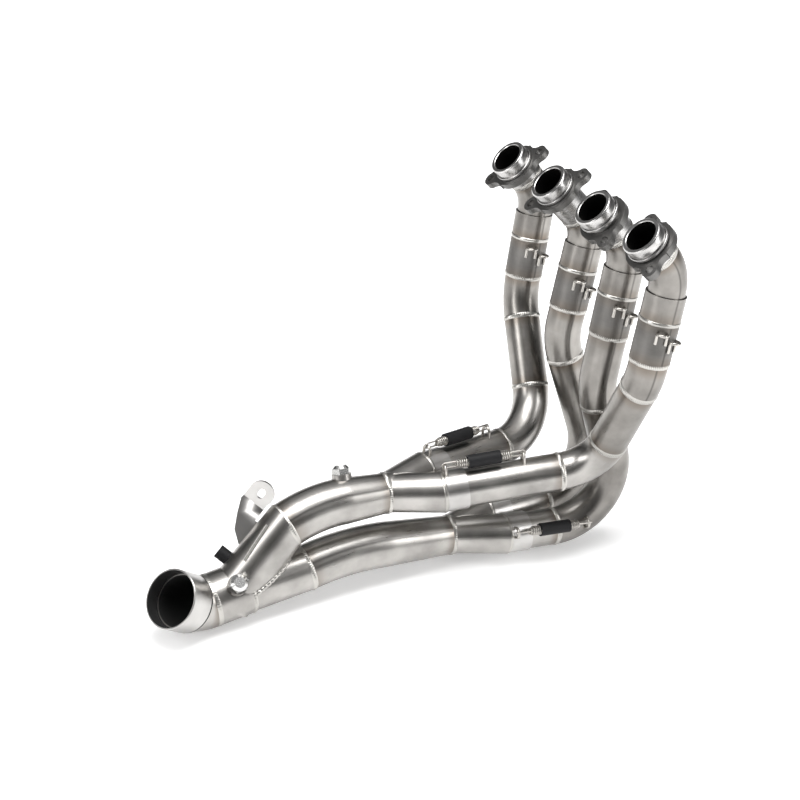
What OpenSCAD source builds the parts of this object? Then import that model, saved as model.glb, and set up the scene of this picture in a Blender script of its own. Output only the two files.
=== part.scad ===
// Four-into-two-into-one exhaust header of a four-cylinder motorcycle.
// X points to the right of the motorcycle, Y forward, Z up; the lowest tube is at Z = 0.
// The origin is under the middle of the part. Positions in the source are measured from a point
// under the middle of the row of ports, and frame_shift moves them all.

/* [Ports] */
// Distance between neighbouring exhaust ports
port_pitch = 86; // [80:1:92]
// Height of the port mouths
port_h = 380; // [372:1:390]
// Fall of the port axes below the horizontal, going forward
port_fall = 46.5; // [44:0.5:49]

/* [Port spigots] */
// Outer diameter of the spigot barrel
barrel_od = 41; // [40:0.5:42]
// Bore of the spigot at its mouth
mouth_bore = 32; // [28:0.5:33]
// Length of the barrel from the mouth to its groove
barrel_len = 9; // [8:0.5:10]
// Width of the groove behind the barrel
groove_w = 2; // [1.5:0.25:3]
// Depth of the groove
groove_depth = 1.3; // [0.8:0.1:1.6]
// Diameter of the collar that the flange pushes on
collar_od = 43; // [42:0.5:45]
// Thickness of the collar
collar_t = 3; // [2:0.25:4]
// Chamfer around the mouth
mouth_chamfer = 1.2; // [0.6:0.1:1.8]

/* [Port flanges] */
// Thickness of a flange
flange_t = 7; // [5:0.5:8]
// Distance between the two stud holes of a flange
stud_span = 62; // [58:1:66]
// Diameter of a stud hole
stud_hole = 8.5; // [7:0.25:9]
// Radius of an ear around its stud hole
ear_r = 8.2; // [7.5:0.1:9]
// Radius of the flange body
hub_r = 26; // [25:0.5:28]
// Radius of the hollow between the body and an ear
waist_r = 12; // [8:1:20]
// Running clearance around the neck and behind the collar
flange_gap = 0.4; // [0.3:0.05:0.8]

/* [Primary tubes] */
// Outer diameter of the elbows at the ports
elbow_od = 37; // [36:0.25:37.5]
// Outer diameter of the primary tubes
primary_od = 39; // [38:0.25:39.5]
// Outer diameter of the slip sleeves under the elbows
sleeve_od = 40.5; // [40:0.25:41]
// Wall of the primary tubes
tube_wall = 1.2; // [1:0.1:1.5]
// Clearance between an inner and an outer slip tube, on the radius
slip_gap = 0.2; // [0.15:0.05:0.3]
// Length of a slip sleeve
sleeve_len = 27; // [24:1:29]
// Length of the tube under a slip sleeve that carries the hooks
hook_tube_len = 43; // [41:1:44]
// Length of an elbow tail inside its sleeve
tail_len = 24; // [18:1:26]

/* [Junctions and slip sockets] */
// Outer diameter of a slip socket
socket_od = 42; // [41.5:0.25:43]
// Length of a slip socket
socket_len = 26; // [22:1:28]
// Depth of a primary tube in its socket
slip_depth = 23; // [16:1:24]
// Length of a junction from its sockets to its outlet
merge_len = 52; // [48:1:58]
// Outer diameter of a junction outlet
merge_od = 41.5; // [41:0.25:43]
// Wall of the junctions
merge_wall = 1.3; // [1.1:0.1:1.5]

/* [Secondary tubes and collector] */
// Outer diameter of a secondary tube where it leaves its junction
secondary_od_in = 41; // [40:0.25:42]
// Outer diameter of a secondary tube at the collector
secondary_od_out = 47; // [46:0.25:48]
// Bend radius of the upper secondary tube
secondary_a_bend = 150; // [110:5:170]
// Outer diameter of the collector neck
neck_od = 54; // [53:0.5:56]
// Bend radius of the collector neck
neck_bend = 33; // [30:1:36]
// Outer diameter of the exit sleeve
exit_od = 59; // [58.5:0.25:61]
// Length of the exit sleeve
exit_len = 27; // [24:1:32]
// Wall of the exit sleeve
exit_wall = 1.5; // [1.2:0.1:2]
// Rise of the exit axis above the horizontal
exit_rise = 37; // [33:0.5:40]
// Turn of the exit axis from straight back to the right
exit_yaw = 27; // [22:0.5:32]

/* [Springs] */
// Outer diameter of a spring coil
coil_od = 10; // [9:0.25:11]
// Thickness of the spring wire
spring_wire = 1.7; // [1.5:0.1:1.9]
// Length of a spring coil
coil_len = 58; // [50:1:62]
// Outer diameter of the rubber cover of a spring
cover_od = 13.5; // [12.5:0.25:14]
// Length of the rubber cover
cover_len = 34; // [28:1:38]
// Height of a spring axis over the socket
spring_lift = 8.5; // [8:0.25:10]
// Thickness of the hook wire
hook_wire = 3; // [2.5:0.25:3.2]

/* [Hanger bracket] */
// Thickness of the bracket plate
bracket_t = 3; // [2:0.25:4]
// Radius of the bracket ear
bracket_ear_r = 13; // [12:0.5:15]
// Width of the bracket slot
slot_w = 7; // [6:0.25:8]
// Length of the bracket slot
slot_len = 11; // [9:0.5:13]
// Bend of the bracket ear
bracket_bend = 18; // [10:1:25]

/* [Plugs] */
// Outer diameter of a sensor boss
boss_od = 20; // [18:0.5:22]
// Height of a sensor boss
boss_h = 8; // [6:0.5:10]
// Width across the flats of the plugs
plug_flats = 17; // [15:0.5:17]

/* [Hidden] */
$fn = 72;
eps = 0.05;
far = 200;

// Colours of the finishes
TITANIUM = [0.66, 0.65, 0.63];
BRIGHT = [0.80, 0.80, 0.79];
FLANGE = [0.36, 0.36, 0.36];
RUBBER = [0.10, 0.10, 0.11];

// Radii of the tubes, from their outer diameters
elbow_r = elbow_od / 2;
primary_r = primary_od / 2;
sleeve_r = sleeve_od / 2;
socket_r = socket_od / 2;
collar_r = collar_od / 2;
merge_r = merge_od / 2;
neck_r = neck_od / 2;
exit_r = exit_od / 2;
second_in_r = secondary_od_in / 2;
second_out_r = secondary_od_out / 2;
neck_inner = elbow_r - tube_wall;

// From the point under the ports to the origin
frame_shift = [-2.71, 196.43, 1.13];

// Vector helpers
function unit(v) = v / norm(v);
function away(v, axis) = unit(v - axis * (v * axis));
function turn_between(u, v) = acos(max(-1, min(1, u * v)));

// Port axes: mouths in a row, axes falling forward
port_x = [for (i = [-1.5:1:1.5]) i * port_pitch];
port_dir = [0, cos(port_fall), -sin(port_fall)];
function mouth(i) = [port_x[i], 0, port_h];

// Distance along the port axis from each mouth to the corner of its elbow
elbow_run = [58, 75, 66, 56];
// Upper corner of each primary: offset to the right of its port, forward, and down from the mouths
upper_corner = [[2, 20, -162], [0, 24, -180], [0, 17, -198], [-2, 18, -152]];
// Lower corner of each primary: right, forward, up
lower_corner = [[-46, 1, 88], [-22, 74, 20], [46, 60, 20], [72, 2, 108]];
// Bend radii of each primary: elbow, upper bend, lower bend
bends = [[50, 85, 66], [40, 80, 60], [45, 80, 62], [46, 66, 50]];

// Weld beads: width along the tube, and height
bead_w = 4;
bead_h = 0.7;

// Junction outlets and the places where the sockets meet the junctions
out_14 = [16, -210, 98];
out_23 = [16, -137, 30];
side = [-1, -1, 1, 1];
out_of = [out_14, out_23, out_23, out_14];
leg_off = socket_r + bead_h + slip_gap;
function leg_start(i) = out_of[i] + [side[i] * leg_off, merge_len, 0];
// Axis of each socket and of the tube in it, going to the rear
function slip_dir(i) = unit(leg_start(i) - lower_corner[i]);
function slip_mouth(i) = leg_start(i) - slip_dir(i) * socket_len;

// Corners of the centreline of primary i, from the mouth to the end of its slip tube
function corners(i) = [mouth(i), mouth(i) + port_dir * elbow_run[i],
    [port_x[i] + upper_corner[i][0], upper_corner[i][1], port_h + upper_corner[i][2]],
    lower_corner[i], slip_mouth(i) + slip_dir(i) * slip_depth];
// Direction after corner k, turn at corner k, and the tangent points of its bend
function run_dir(p, k) = unit(p[k + 1] - p[k]);
function turn(p, k) = turn_between(run_dir(p, k - 1), run_dir(p, k));
function tangent(i, k) = bends[i][k - 1] * tan(turn(corners(i), k) / 2);
function bend_start(i, k) = corners(i)[k] - run_dir(corners(i), k - 1) * tangent(i, k);
function bend_end(i, k) = corners(i)[k] + run_dir(corners(i), k) * tangent(i, k);
// Points along the straight under the elbow
function sleeve_top(i) = bend_end(i, 1);
function sleeve_foot(i) = sleeve_top(i) + run_dir(corners(i), 1) * sleeve_len;
function hook_foot(i) = sleeve_foot(i) + run_dir(corners(i), 1) * hook_tube_len;

// Secondary tubes: corner of each bend and the weld to the collector
corner_a = [15, -288, 101];
corner_b = [15, -256, 42];
merge_point = [20, -376, 29];
dir_a0 = unit(corner_a - out_14);
dir_b0 = unit(corner_b - out_23);
// Directions of the secondary tubes where they meet the collector
dir_a1 = unit([3, -32, -13]);
dir_b1 = unit([3, -44, -8]);
run_b1 = 44;
secondary_b_bend = run_b1 / tan(turn_between(dir_b0, dir_b1) / 2);
run_a1 = secondary_a_bend * tan(turn_between(dir_a0, dir_a1) / 2);
weld_a = corner_a + dir_a1 * run_a1;
weld_b = corner_b + dir_b1 * run_b1;

// Exit axis, pointing out, and the neck bend between the collector and the exit sleeve
exit_dir = [sin(exit_yaw) * cos(exit_rise), -cos(exit_yaw) * cos(exit_rise), sin(exit_rise)];
neck_dir = unit([2, -43, -5]);
neck_turn = turn_between(neck_dir, exit_dir);
neck_run = neck_bend * tan(neck_turn / 2);
neck_flat = 25;
neck_lead = 12;
neck_start = merge_point + neck_dir * neck_flat;
neck_corner = neck_start + neck_dir * neck_run;
exit_start = neck_corner + exit_dir * neck_run;
exit_overlap = 12;

// Springs: hook places measured from the slip mouth, and the side of the tube they lie on
hook_back = 20;
hook_ahead = 62;
spring_side = [[0, 0, 1], [-0.88, 0, 0.48], [0.88, 0, 0.48], [0, 0, 1]];
spring_r = socket_r + spring_lift;
function spring_up(i) = away(spring_side[i], slip_dir(i));
function hook_rear(i) = leg_start(i) - slip_dir(i) * (socket_len - hook_back) + spring_up(i) * spring_r;
function hook_front(i) = slip_mouth(i) - slip_dir(i) * hook_ahead + spring_up(i) * spring_r;
eye_r = (coil_od - spring_wire) / 2;
arch_r = 5;

// Places a shape with its z axis along axis and its x axis towards side_hint
module frame_at(origin, axis, side_hint) {
    x = away(side_hint, axis);
    y = cross(axis, x);
    o = origin + frame_shift;
    multmatrix([[x[0], y[0], axis[0], o[0]], [x[1], y[1], axis[1], o[1]],
        [x[2], y[2], axis[2], o[2]], [0, 0, 0, 1]]) children();
}

module ring(r, wall) {
    difference() {
        circle(r);
        circle(r - wall);
    }
}

// Straight tube along z
module straight(r, wall, len) {
    linear_extrude(len) ring(r, wall);
}

// Tube bend that starts at the origin along z and turns towards x
module bend(r, wall, bend_r, angle) {
    translate([bend_r, 0, 0]) rotate([90, 0, 180])
        rotate_extrude(angle = angle) translate([bend_r, 0]) ring(r, wall);
}

// Primary tubes

// Turned spigot: mouth at the origin, barrel, groove, collar and neck along z
module spigot(len) {
    rim = barrel_od / 2;
    groove_at = barrel_len;
    collar_at = groove_at + groove_w;
    rotate_extrude() polygon([[mouth_bore / 2, mouth_chamfer / 2], [mouth_bore / 2 + mouth_chamfer / 2, 0],
        [rim - mouth_chamfer, 0], [rim, mouth_chamfer], [rim, groove_at],
        [rim - groove_depth, groove_at], [rim - groove_depth, collar_at],
        [collar_r, collar_at], [collar_r, collar_at + collar_t], [elbow_r, collar_at + collar_t],
        [elbow_r, len], [neck_inner, len], [neck_inner, collar_at + collar_t],
        [mouth_bore / 2, collar_at]]);
}

module port_spigot(i) {
    color(BRIGHT) frame_at(mouth(i), port_dir, [1, 0, 0]) spigot(norm(bend_start(i, 1) - mouth(i)));
}

// Flange body with two ears and the hollows between them
module flange_body() {
    span = stud_span / 2;
    a = hub_r + waist_r;
    b = ear_r + waist_r;
    x = (a * a - b * b + span * span) / (2 * span);
    y = sqrt(a * a - x * x);
    web = 0.9 * y;
    difference() {
        union() {
            cylinder(r = hub_r, h = flange_t);
            for (s = [-1, 1]) translate([s * span, 0, 0]) cylinder(r = ear_r, h = flange_t);
            translate([-span, -web, 0]) cube([2 * span, 2 * web, flange_t]);
        }
        for (s = [-1, 1], t = [-1, 1]) translate([s * x, t * y, -1])
            cylinder(r = waist_r + eps, h = flange_t + 2);
    }
}

// Turn of each flange around its port axis, and its distance behind the collar
flange_turn = [55, 57, 145, 140];
flange_back = [0, 0, 4, 1];

module port_flange(i) {
    at = barrel_len + groove_w + collar_t + flange_gap + flange_back[i];
    color(FLANGE) frame_at(mouth(i) + port_dir * at, port_dir, [1, 0, 0])
        rotate([0, 0, -flange_turn[i]]) difference() {
            flange_body();
            translate([0, 0, -1]) cylinder(r = elbow_r + flange_gap, h = flange_t + 2);
            for (s = [-1, 1]) translate([s * stud_span / 2, 0, -1]) cylinder(d = stud_hole, h = flange_t + 2);
        }
}

// Elbow: bend from the spigot, and a tail that slips into the sleeve
module head_elbow(i) {
    p = corners(i);
    color(TITANIUM) frame_at(bend_end(i, 1), -run_dir(p, 1), -run_dir(p, 0)) {
        translate([0, 0, -tail_len]) straight(elbow_r, tube_wall, tail_len);
        bend(elbow_r, tube_wall, bends[i][0], turn(p, 1));
    }
}

module slip_sleeve(i) {
    bore = elbow_r + slip_gap;
    color(TITANIUM) frame_at(sleeve_top(i), run_dir(corners(i), 1), [1, 0, 0])
        straight(sleeve_r, sleeve_r - bore, sleeve_len);
}

module hook_tube(i) {
    color(TITANIUM) frame_at(sleeve_foot(i), run_dir(corners(i), 1), [1, 0, 0])
        straight(sleeve_r, tube_wall, hook_tube_len);
}

// Bent tube number k of primary i, with the straight of the given length before it
module primary_bend(i, k, len) {
    p = corners(i);
    color(TITANIUM) frame_at(bend_start(i, k), run_dir(p, k - 1), run_dir(p, k)) {
        translate([0, 0, -len]) straight(primary_r, tube_wall, len);
        bend(primary_r, tube_wall, bends[i][k - 1], turn(p, k));
    }
}

module upper_bend(i) {
    primary_bend(i, 2, norm(bend_start(i, 2) - hook_foot(i)));
}

module mid_tube(i) {
    color(TITANIUM) frame_at(bend_end(i, 2), run_dir(corners(i), 2), [1, 0, 0])
        straight(primary_r, tube_wall, norm(bend_start(i, 3) - bend_end(i, 2)));
}

// The outer primaries have a separate tube before the lower bend, the inner ones a long straight
function has_mid_tube(i) = i == 0 || i == 3;

module lower_bend(i) {
    run = norm(bend_start(i, 3) - bend_end(i, 2));
    primary_bend(i, 3, has_mid_tube(i) ? 0 : run);
}

module slip_tube(i) {
    color(TITANIUM) frame_at(bend_end(i, 3), slip_dir(i), [0, 0, 1])
        straight(primary_r, tube_wall, norm(corners(i)[4] - bend_end(i, 3)));
}

// Junctions, secondary tubes and collector

module slip_socket(i) {
    bore = primary_r + slip_gap;
    color(TITANIUM) frame_at(slip_mouth(i), slip_dir(i), [0, 0, 1])
        straight(socket_r, socket_r - bore, socket_len);
}

// Half space behind a plane
module behind(point, normal) {
    frame_at(point, normal, [0, 0, 1]) translate([-far / 2, -far / 2, -far]) cube([far, far, far]);
}

// Cone between two points, longer by ext at both ends
module cone(from, to, r1, r2, ext) {
    len = norm(to - from);
    grow = (r2 - r1) / len * ext;
    frame_at(from - unit(to - from) * ext, unit(to - from), [0, 0, 1])
        cylinder(r1 = r1 - grow, r2 = r2 + grow, h = len + 2 * ext);
}

// One leg of a merge: a cone cut square to the tube that it meets
module leg(from, cut, to, r1, r2, ext) {
    difference() {
        cone(from, to, r1, r2, ext);
        behind(from, cut);
    }
}

module junction(i, j, out, axis) {
    leg_ext = 8;
    lip = 8;
    color(TITANIUM) difference() {
        union() {
            for (k = [i, j]) leg(leg_start(k), slip_dir(k), out, socket_r, merge_r - merge_wall, leg_ext);
            frame_at(out - axis * lip, axis, [0, 0, 1]) cylinder(r = merge_r, h = lip);
        }
        for (k = [i, j]) cone(leg_start(k), out, socket_r - merge_wall, merge_r - 2 * merge_wall, 3 * leg_ext);
        frame_at(out - axis * (lip + 1), axis, [0, 0, 1]) cylinder(r = merge_r - merge_wall, h = 2 * lip);
        behind(out, -axis);
    }
}

// Conical tube with a bend at its end
module secondary_tube(start, corner, d0, d1, bend_r) {
    angle = turn_between(d0, d1);
    len = norm(corner - start) - bend_r * tan(angle / 2);
    color(TITANIUM) frame_at(start + d0 * len, d0, d1) {
        difference() {
            translate([0, 0, -len]) cylinder(r1 = second_in_r, r2 = second_out_r, h = len);
            translate([0, 0, -len]) cylinder(r1 = second_in_r - tube_wall, r2 = second_out_r - tube_wall, h = len);
        }
        bend(second_out_r, tube_wall, bend_r, angle);
    }
}

// Outside of the collector as a solid, grown by extra
module collector_skin(extra) {
    for (w = [[weld_a, dir_a1], [weld_b, dir_b1]])
        leg(w[0], w[1], merge_point, second_out_r + extra, neck_r - merge_wall + extra, neck_lead);
    frame_at(merge_point - neck_dir * neck_lead, neck_dir, [0, 0, 1])
        cylinder(r = neck_r + extra, h = neck_lead + neck_flat + 1);
}

module collector() {
    bore_ext = 6;
    color(TITANIUM) difference() {
        collector_skin(0);
        for (w = [weld_a, weld_b]) cone(w, merge_point, second_out_r - merge_wall, neck_r - 2 * merge_wall, bore_ext);
        frame_at(merge_point - neck_dir * (neck_lead + 1), neck_dir, [0, 0, 1])
            cylinder(r = neck_r - merge_wall, h = neck_lead + neck_flat + 3);
        behind(neck_start, -neck_dir);
    }
}

module collector_neck() {
    color(TITANIUM) frame_at(exit_start, -exit_dir, -neck_dir) {
        translate([0, 0, -exit_overlap]) straight(neck_r, merge_wall, exit_overlap);
        bend(neck_r, merge_wall, neck_bend, neck_turn);
    }
}

// Sleeve around the end of the neck, with an inner band that seats on it
module exit_sleeve() {
    color(BRIGHT) frame_at(exit_start, exit_dir, [0, 0, 1]) rotate_extrude() polygon([
        [neck_r, 0], [exit_r - exit_wall, 0], [exit_r, exit_wall], [exit_r, exit_len],
        [exit_r - exit_wall, exit_len], [exit_r - exit_wall, exit_overlap], [neck_r, exit_overlap]]);
}

// Bracket and plugs

// Frame of the bracket: x along the upper collector leg towards the front, y away from its axis
leg_dir = unit(weld_a - merge_point);
bracket_out = away([-0.586, -0.553, 0.593], leg_dir);
bracket_foot = merge_point + leg_dir * 46;
bracket_reach = 36;

module hanger_bracket() {
    foot_r = second_out_r + 2;
    ear_up = 12.5;
    ear_x = 13;
    color(TITANIUM) difference() {
        frame_at(bracket_foot, cross(leg_dir, bracket_out), leg_dir)
            translate([0, 0, -bracket_t / 2]) {
                linear_extrude(bracket_t) polygon([[-6, foot_r - 8], [-6, foot_r], [3, foot_r + 12],
                    [18, foot_r + 20], [bracket_reach - 4, foot_r + 26], [bracket_reach, foot_r + ear_up + bracket_ear_r],
                    [bracket_reach, foot_r + 1], [22, foot_r + 1], [22, foot_r - 8]]);
                translate([bracket_reach, 0, 0]) rotate([0, -bracket_bend, 0]) difference() {
                    linear_extrude(bracket_t) {
                        translate([ear_x, foot_r + ear_up]) circle(bracket_ear_r);
                        translate([0, foot_r + 1]) square([ear_x, ear_up + bracket_ear_r - 1]);
                    }
                    for (s = [-1, 1]) translate([ear_x + s * (slot_len - slot_w) / 2, foot_r + ear_up, -1])
                        cylinder(d = slot_w, h = bracket_t + 2);
                    translate([ear_x - (slot_len - slot_w) / 2, foot_r + ear_up - slot_w / 2, -1])
                        cube([slot_len - slot_w, slot_w, bracket_t + 2]);
                }
            }
        cone(merge_point, weld_a, neck_r - merge_wall, second_out_r, 0);
    }
}

// Boss frames: point on a centreline, direction out of the tube, and radius of the tube there
sensor_at = merge_point + neck_dir * 2;
sensor_dir = away([0.72, -0.1, 0.68], neck_dir);
side_at = out_14 + dir_a0 * 44;
side_dir = away([-0.35, 0, 0.94], dir_a0);
side_r = second_in_r + (second_out_r - second_in_r) * 0.85;
tap_d = 14;
tap_at = merge_point + leg_dir * 22;
tap_dir = away([-0.55, -0.6, 0.5], leg_dir);

// Boss on a tube of radius r whose axis is along x
module boss(r, h) {
    difference() {
        translate([0, 0, r - 4]) cylinder(d = boss_od, h = h + 4);
        translate([0, 0, r - 5]) cylinder(d = boss_od - 8, h = h + 6);
        translate([-boss_od, 0, 0]) rotate([0, 90, 0]) cylinder(r = r, h = 2 * boss_od);
    }
}

// Hexagon plug in a boss, with a domed head
module plug(r, h) {
    head = 6;
    translate([0, 0, r + 1]) cylinder(d = boss_od - 8, h = h);
    translate([0, 0, r + h]) cylinder(d = plug_flats / cos(30), h = head, $fn = 6);
    translate([0, 0, r + h + head]) cylinder(d1 = plug_flats, d2 = plug_flats - 6, h = 3);
}

module sensor_boss() {
    color(TITANIUM) difference() {
        frame_at(sensor_at, sensor_dir, neck_dir) boss(neck_r, boss_h);
        collector_skin(eps);
    }
}

module sensor_plug() {
    color(BRIGHT) frame_at(sensor_at, sensor_dir, neck_dir) plug(neck_r + 1, boss_h - 1);
}

module side_boss() {
    color(TITANIUM) frame_at(side_at, side_dir, dir_a0) boss(second_out_r, boss_h / 2);
}

module side_plug() {
    color(BRIGHT) frame_at(side_at, side_dir, dir_a0) plug(second_out_r, boss_h / 2);
}

module gas_tap_plug() {
    color(RUBBER) difference() {
        frame_at(tap_at, tap_dir, leg_dir) translate([0, 0, neck_r - tap_d / 2]) cylinder(d = tap_d, h = 10 + tap_d / 2);
        collector_skin(eps);
    }
}

// Springs and hooks

// Coil along z, centred, with a long eye at each end; len is the distance between the eye centres
module spring_body(len) {
    turns = 8;
    pitch = spring_wire * 0.95;
    half = coil_len / 2;
    plain = half - turns * pitch;
    rotate_extrude() {
        translate([eye_r - spring_wire / 2, -plain]) square([spring_wire, 2 * plain]);
        for (s = [-1, 1], k = [0:turns]) translate([eye_r, s * (half - k * pitch)])
            circle(spring_wire / 2, $fn = 24);
    }
    for (s = [-1, 1]) mirror([0, 0, s < 0 ? 1 : 0]) {
        for (t = [-1, 1]) translate([t * eye_r, 0, half]) cylinder(d = spring_wire, h = len / 2 - half, $fn = 24);
        translate([0, 0, len / 2]) rotate([90, 0, 0])
            rotate_extrude(angle = 180) translate([eye_r, 0]) circle(spring_wire / 2, $fn = 24);
    }
}

// Frame of spring i: z from its rear eye to its front eye
module at_spring(i) {
    a = hook_rear(i);
    b = hook_front(i);
    frame_at((a + b) / 2, unit(b - a), spring_up(i)) children();
}

module spring(i) {
    pull = 2 * (eye_r - spring_wire / 2 - hook_wire / 2 - slip_gap);
    color(BRIGHT) at_spring(i) spring_body(norm(hook_front(i) - hook_rear(i)) - pull);
}

module spring_covers() {
    color(RUBBER) for (i = [0:3]) at_spring(i)
        translate([0, 0, -cover_len / 2]) straight(cover_od / 2, (cover_od - coil_od) / 2, cover_len);
}

// Wire arch with its crown at height top and its legs down to height foot
module arch_wire(foot, top) {
    translate([0, 0, top - arch_r]) rotate([90, 0, 0])
        rotate_extrude(angle = 180) translate([arch_r, 0]) circle(d = hook_wire, $fn = 24);
    for (s = [-1, 1]) translate([s * arch_r, 0, foot])
        cylinder(d = hook_wire, h = top - arch_r - foot, $fn = 24);
}

// Wire arch on a straight tube of radius r, its legs cut to the tube
module arch(r, top) {
    difference() {
        arch_wire(r - 3, top);
        translate([0, far / 2, 0]) rotate([90, 0, 0]) cylinder(r = r + eps, h = far);
    }
}

// Outside of the lower bend and slip tube of primary i as a solid
module primary_skin(i) {
    p = corners(i);
    len = norm(p[4] - bend_end(i, 3));
    frame_at(bend_end(i, 3), -slip_dir(i), -run_dir(p, 2)) {
        translate([0, 0, -len]) cylinder(r = primary_r + eps, h = len);
        translate([bends[i][2], 0, 0]) rotate([90, 0, 180]) rotate_extrude(angle = turn(p, 3))
            translate([bends[i][2], 0]) circle(primary_r + eps);
    }
}

module junction_hooks() {
    color(BRIGHT) for (i = [0:3]) frame_at(hook_rear(i) - spring_up(i) * spring_r, spring_up(i),
        cross(slip_dir(i), spring_up(i))) arch(socket_r, spring_r);
}

module primary_hooks() {
    color(BRIGHT) {
        for (i = [0:3]) difference() {
            frame_at(hook_front(i) - spring_up(i) * spring_r, spring_up(i), cross(slip_dir(i), spring_up(i)))
                arch_wire(primary_r / 2, spring_r);
            primary_skin(i);
        }
        for (i = [0:3]) for (s = [-1, 1]) {
            axis = run_dir(corners(i), 1);
            out = away([0.9, 0.35 * s, 0], axis);
            frame_at(sleeve_foot(i) + axis * (12 + 4 * s), out, cross(axis, out)) arch(sleeve_r, sleeve_r + 7);
        }
    }
}

// Weld beads

module bead(point, axis, r) {
    frame_at(point, axis, [0, 0.1, 1]) rotate_extrude()
        polygon([[r, -bead_w / 2], [r + bead_h * 0.7, -bead_w / 3], [r + bead_h, 0],
            [r + bead_h * 0.7, bead_w / 3], [r, bead_w / 2]]);
}

module weld_beads() {
    color(BRIGHT) {
        for (i = [0:3]) {
            d = run_dir(corners(i), 1);
            bead(sleeve_foot(i), d, sleeve_r);
            bead(leg_start(i) - slip_dir(i) * bead_w / 2, slip_dir(i), socket_r);
        }
    }
}

for (i = [0:3]) {
    port_spigot(i);
    port_flange(i);
    head_elbow(i);
    slip_sleeve(i);
    hook_tube(i);
    upper_bend(i);
    lower_bend(i);
    slip_tube(i);
    slip_socket(i);
    spring(i);
}
mid_tube(0);  // mid_tube_1
mid_tube(3);  // mid_tube_4
junction(0, 3, out_14, dir_a0);  // junction_14
junction(1, 2, out_23, dir_b0);  // junction_23
secondary_tube(out_14, corner_a, dir_a0, dir_a1, secondary_a_bend);  // secondary_tube_14
secondary_tube(out_23, corner_b, dir_b0, dir_b1, secondary_b_bend);  // secondary_tube_23
collector();
collector_neck();
exit_sleeve();
hanger_bracket();
sensor_boss();
sensor_plug();
side_boss();
side_plug();
gas_tap_plug();
spring_covers();
primary_hooks();
junction_hooks();
weld_beads();
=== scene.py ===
# %% [markdown]
# # Motorcycle exhaust header: looks
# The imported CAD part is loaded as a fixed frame. Tubes, spigots, springs and weld rings are modelled again here
# along the CAD's own corner points, with brushing, seam lines and heat tint. The flanges, junctions, collector,
# bracket, bosses, plugs, hook loops and spring covers keep their CAD shape, and so do the plain weld rings
# that lie under the new ones.
# The frame is in metres, with +X to the right of the motorcycle, +Y forward and +Z up.

# %%
import math
import bmesh
import bpy
from mathutils import Matrix, Vector


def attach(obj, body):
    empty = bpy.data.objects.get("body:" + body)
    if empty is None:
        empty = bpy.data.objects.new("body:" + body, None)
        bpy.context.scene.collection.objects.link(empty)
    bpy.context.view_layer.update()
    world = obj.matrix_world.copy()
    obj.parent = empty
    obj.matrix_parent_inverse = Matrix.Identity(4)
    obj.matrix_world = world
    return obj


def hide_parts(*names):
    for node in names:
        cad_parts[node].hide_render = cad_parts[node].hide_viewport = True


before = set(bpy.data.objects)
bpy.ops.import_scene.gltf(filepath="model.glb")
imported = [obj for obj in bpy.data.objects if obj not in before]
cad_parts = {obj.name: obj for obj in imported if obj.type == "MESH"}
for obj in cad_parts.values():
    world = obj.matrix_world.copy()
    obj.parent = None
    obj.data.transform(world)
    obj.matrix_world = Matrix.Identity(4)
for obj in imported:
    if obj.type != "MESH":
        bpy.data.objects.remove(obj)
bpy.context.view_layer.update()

# %% [markdown]
# ## Camera
# The lens, the direction and the place were found from the photo: the regular row of ports fixes the scale,
# and the camera looks from the right rear, 26.5 degrees above the horizon.

# %%
# SHIFT takes this script's millimetres to the frame's origin, and PORT_H is the height of the ports.
SHIFT = Vector((-2.71, 196.43, 1.13))
PORT_H = 380.0
AZIMUTH, ELEVATION, LENS, SENSOR, CLIP = 64.84, 26.5, 72.0, 36.0, (0.01, 20)
CAMERA_AT = (Vector((1295.1, -793.6, 524.1 + PORT_H)) + SHIFT) / 1000


def view_axes(azimuth, elevation):
    """The camera's right, up and backward directions."""
    a, e = math.radians(azimuth), math.radians(elevation)
    right = Vector((math.cos(a), math.sin(a), 0))
    up = Vector((-math.sin(a) * math.sin(e), math.cos(a) * math.sin(e), math.cos(e)))
    return right, up, right.cross(up)


scene = bpy.context.scene
camera = bpy.data.objects.new("camera", bpy.data.cameras.new("camera"))
scene.collection.objects.link(camera)
camera.matrix_world = Matrix.Translation(CAMERA_AT) @ Matrix(view_axes(AZIMUTH, ELEVATION)).transposed().to_4x4()
camera.data.lens, camera.data.sensor_width = LENS, SENSOR
camera.data.clip_start, camera.data.clip_end = CLIP
scene.camera = camera
scene.view_settings.view_transform = "Standard"
scene.view_settings.look = "None"
print("camera", [round(v, 3) for v in CAMERA_AT])

# %% [markdown]
# ## Sizes
# The same corner points and bend radii as the CAD source, in millimetres from a point under the ports.

# %%
# Ports: distance from one to the next, and the fall of their axes
PITCH, FALL = 86.0, math.radians(46.5)
PORT_X = [(i - 1.5) * PITCH for i in range(4)]
PORT_DIR = Vector((0, math.cos(FALL), -math.sin(FALL)))
# For each cylinder: run to the elbow's corner, upper corner from the port, lower corner, three bend radii
ELBOW_RUN = [58, 75, 66, 56]
UPPER = [(2, 20, -162), (0, 24, -180), (0, 17, -198), (-2, 18, -152)]
LOWER = [(-46, 1, 88), (-22, 74, 20), (46, 60, 20), (72, 2, 108)]
BENDS = [(50, 85, 66), (40, 80, 60), (45, 80, 62), (46, 66, 50)]
# Rear ends of the two junctions, then for each cylinder its junction and the side it joins from
OUT_14, OUT_23 = Vector((16, -210, 98)), Vector((16, -137, 30))
JUNCTION_OUT, LEG_SIDE = (OUT_14, OUT_23, OUT_23, OUT_14), (-1, -1, 1, 1)
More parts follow.
